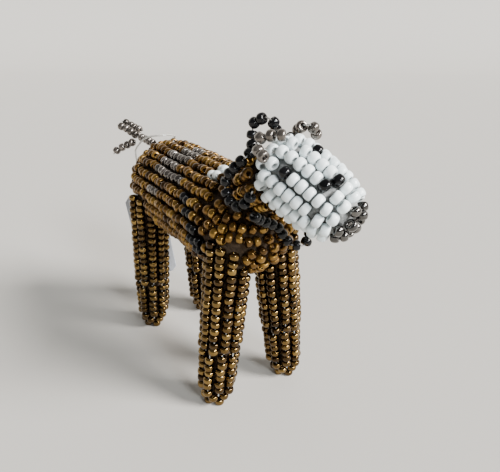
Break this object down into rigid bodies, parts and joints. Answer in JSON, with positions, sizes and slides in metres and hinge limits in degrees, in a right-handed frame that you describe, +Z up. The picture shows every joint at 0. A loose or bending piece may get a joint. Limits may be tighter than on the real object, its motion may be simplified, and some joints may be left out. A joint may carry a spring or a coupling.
{
  "type": "beaded animal figure",
  "caption": "Small standing four-legged animal netted from glass seed beads over a stuffed core, with bead-strand horns, ears and forked tail.",
  "frame": {"origin": "on the ground under the middle of the figure's box", "axes": "+X the way the animal faces, +Y its left side, +Z up"},
  "size_m": [0.0823, 0.0254, 0.0606],
  "materials": {
    "bronze_bead": "metallic bronze glass, polished",
    "bronze_matte_bead": "metallic bronze glass, satin",
    "pewter_bead": "metallic pewter glass, satin",
    "gunmetal_bead": "metallic gunmetal glass, polished",
    "jet_bead": "opaque jet glass, polished",
    "white_bead": "opaque white glass, satin",
    "thread": "clear nylon thread",
    "wire": "soft bare wire",
    "wadding": "dark fabric stuffing",
    "pale_wadding": "pale fabric stuffing",
    "card": "matt white card"
  },
  "bodies": {
    "figure": {"body_stuffing": "wadding", "neck_stuffing": "wadding", "head_stuffing": "pale_wadding", "front_right_leg_stuffing": "wadding", "front_left_leg_stuffing": "wadding", "rear_right_leg_stuffing": "wadding", "rear_left_leg_stuffing": "wadding", "rump_beads": "bronze_matte_bead", "flank_beads": "bronze_matte_bead", "shoulder_beads": "bronze_matte_bead", "pewter_rump_beads": "pewter_bead", "black_stripe_beads": "jet_bead", "white_withers_beads": "white_bead", "neck_beads": "bronze_matte_bead", "front_right_leg_beads": "bronze_bead", "front_left_leg_beads": "bronze_bead", "rear_right_leg_beads": "bronze_bead", "rear_left_leg_beads": "bronze_bead", "front_right_foot_beads": "bronze_bead", "front_left_foot_beads": "bronze_bead", "rear_right_foot_beads": "bronze_bead", "rear_left_foot_beads": "bronze_bead", "front_right_leg_threads": "thread", "front_left_leg_threads": "thread", "rear_right_leg_threads": "thread", "rear_left_leg_threads": "thread", "body_threads": "thread", "white_head_beads": "white_bead", "muzzle_beads": "gunmetal_bead", "right_eye_bead": "jet_bead", "left_eye_bead": "jet_bead", "face_bar_beads": "jet_bead", "right_horn_beads": "jet_bead", "right_horn_wire": "wire", "left_horn_beads": "jet_bead", "left_horn_wire": "wire", "right_ear_beads": "pewter_bead", "right_ear_wire": "wire", "left_ear_beads": "pewter_bead", "left_ear_wire": "wire", "tag_loop": "thread"},
    "tail": {"tail_stem_beads": "pewter_bead", "tail_stem_wire": "wire"},
    "tail_upper_tuft": {"tail_upper_tuft_beads": "pewter_bead", "tail_upper_tuft_wires": "wire"},
    "tail_lower_tuft": {"tail_lower_tuft_beads": "pewter_bead", "tail_lower_tuft_wire": "wire"},
    "tag": {"hang_tag": "card"}
  },
  "joints": [
    {"name": "tail_swing", "type": "hinge", "parent": "figure", "child": "tail", "pos_m": [-0.02641, -0.00199, 0.047], "axis": [-0.1903, 0.9817, 0], "range_deg": [-5, 14]},
    {"name": "tail_upper_tuft_bend", "type": "hinge", "parent": "tail", "child": "tail_upper_tuft", "pos_m": [-0.03306, -0.0036, 0.048], "axis": [-0.1903, 0.9817, 0], "range_deg": [-2, 10]},
    {"name": "tail_lower_tuft_bend", "type": "hinge", "parent": "tail", "child": "tail_lower_tuft", "pos_m": [-0.03286, -0.0039, 0.0474], "axis": [-0.1903, 0.9817, 0], "range_deg": [-10, 2]},
    {"name": "tag_swing", "type": "hinge", "parent": "figure", "child": "tag", "pos_m": [-0.03146, -0.0036, 0.0306], "axis": [0, 1, 0], "range_deg": [-14, 14]}
  ]
}
